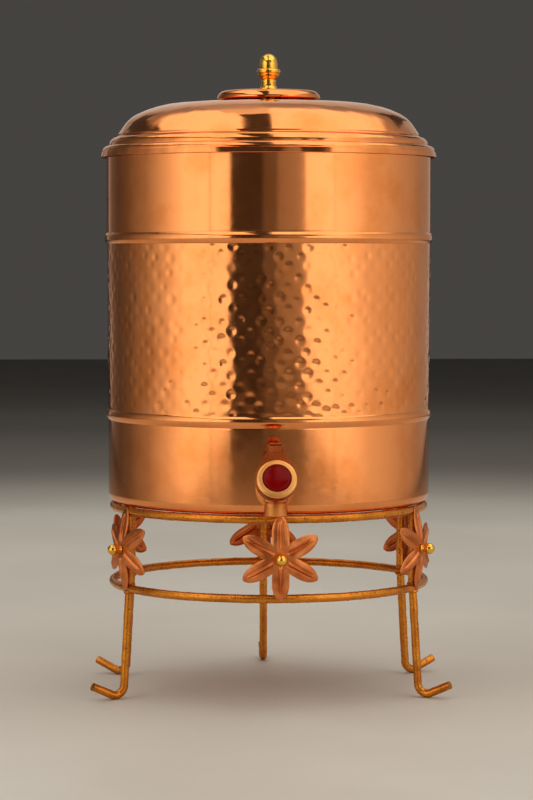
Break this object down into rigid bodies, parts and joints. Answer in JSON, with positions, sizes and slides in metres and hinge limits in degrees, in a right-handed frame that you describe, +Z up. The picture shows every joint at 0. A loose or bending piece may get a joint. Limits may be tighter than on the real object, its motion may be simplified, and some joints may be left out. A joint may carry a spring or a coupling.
{
  "type": "copper water dispenser",
  "caption": "Round copper water tank with a front lever tap and a domed lift-off lid, standing in a rod stand with pressed flowers.",
  "frame": {"origin": "on the tank's vertical axis, at the floor the feet stand on", "axes": "+Z up the tank's axis, -Y towards the tap, +X to the right seen from the tap's side"},
  "size_m": [0.2612, 0.3121, 0.4687],
  "materials": {
    "tank_copper": "polished copper, hammered between the two beads",
    "lid_copper": "polished copper, lightly hand beaten",
    "tap_copper": "copper plated brass, polished",
    "flower_copper": "satin pressed copper",
    "brass": "polished yellow brass",
    "gold_paint": "gold paint over rough iron rod",
    "steel": "zinc plated steel",
    "black_rubber": "matt moulded rubber",
    "red_enamel": "glossy red enamel"
  },
  "bodies": {
    "stand": {"upper_ring": "gold_paint", "lower_ring": "gold_paint", "leg_front_left": "gold_paint", "leg_front_right": "gold_paint", "leg_back_left": "gold_paint", "leg_back_right": "gold_paint", "leg_back_centre": "gold_paint", "post_front_left": "gold_paint", "post_front_right": "gold_paint", "post_back_left": "gold_paint", "post_back_right": "gold_paint", "post_back_centre": "gold_paint", "post_front_centre": "gold_paint", "flower_front_left": "flower_copper", "flower_front_right": "flower_copper", "flower_back_left": "flower_copper", "flower_back_right": "flower_copper", "flower_back_centre": "flower_copper", "flower_front_centre": "flower_copper", "flower_ball_front_left": "brass", "flower_ball_front_right": "brass", "flower_ball_back_left": "brass", "flower_ball_back_right": "brass", "flower_ball_back_centre": "brass", "flower_ball_front_centre": "brass"},
    "tank": {"tank_wall": "tank_copper", "tank_base": "tank_copper", "mouth_ring": "tank_copper", "outer_washer": "black_rubber", "inner_washer": "black_rubber", "wall_flange": "tap_copper", "back_nut": "brass", "tap_body": "tap_copper", "spout_nozzle": "tap_copper", "bonnet_nut": "tap_copper"},
    "handle": {"valve_plug": "brass", "plug_seal": "black_rubber", "spindle": "brass", "handle_lever": "tap_copper", "handle_screw": "steel", "index_disc": "red_enamel"},
    "lid": {"lid_dome": "lid_copper", "lid_skirt": "lid_copper", "lid_spacer": "brass", "lid_plate": "lid_copper", "finial": "brass", "finial_stud": "steel", "lid_washer": "steel", "lid_nut": "steel"}
  },
  "joints": [
    {"name": "tank_lift", "type": "slide", "parent": "stand", "child": "tank", "axis": [0, 0, 1], "range_m": [0, 0.1]},
    {"name": "lid_lift", "type": "slide", "parent": "tank", "child": "lid", "axis": [0, 0, 1], "range_m": [0, 0.12]},
    {"name": "tap_turn", "type": "hinge", "parent": "tank", "child": "handle", "pos_m": [0, -0.1377, 0.1575], "axis": [0, -0.891, 0.454], "range_deg": [0, 90]}
  ]
}
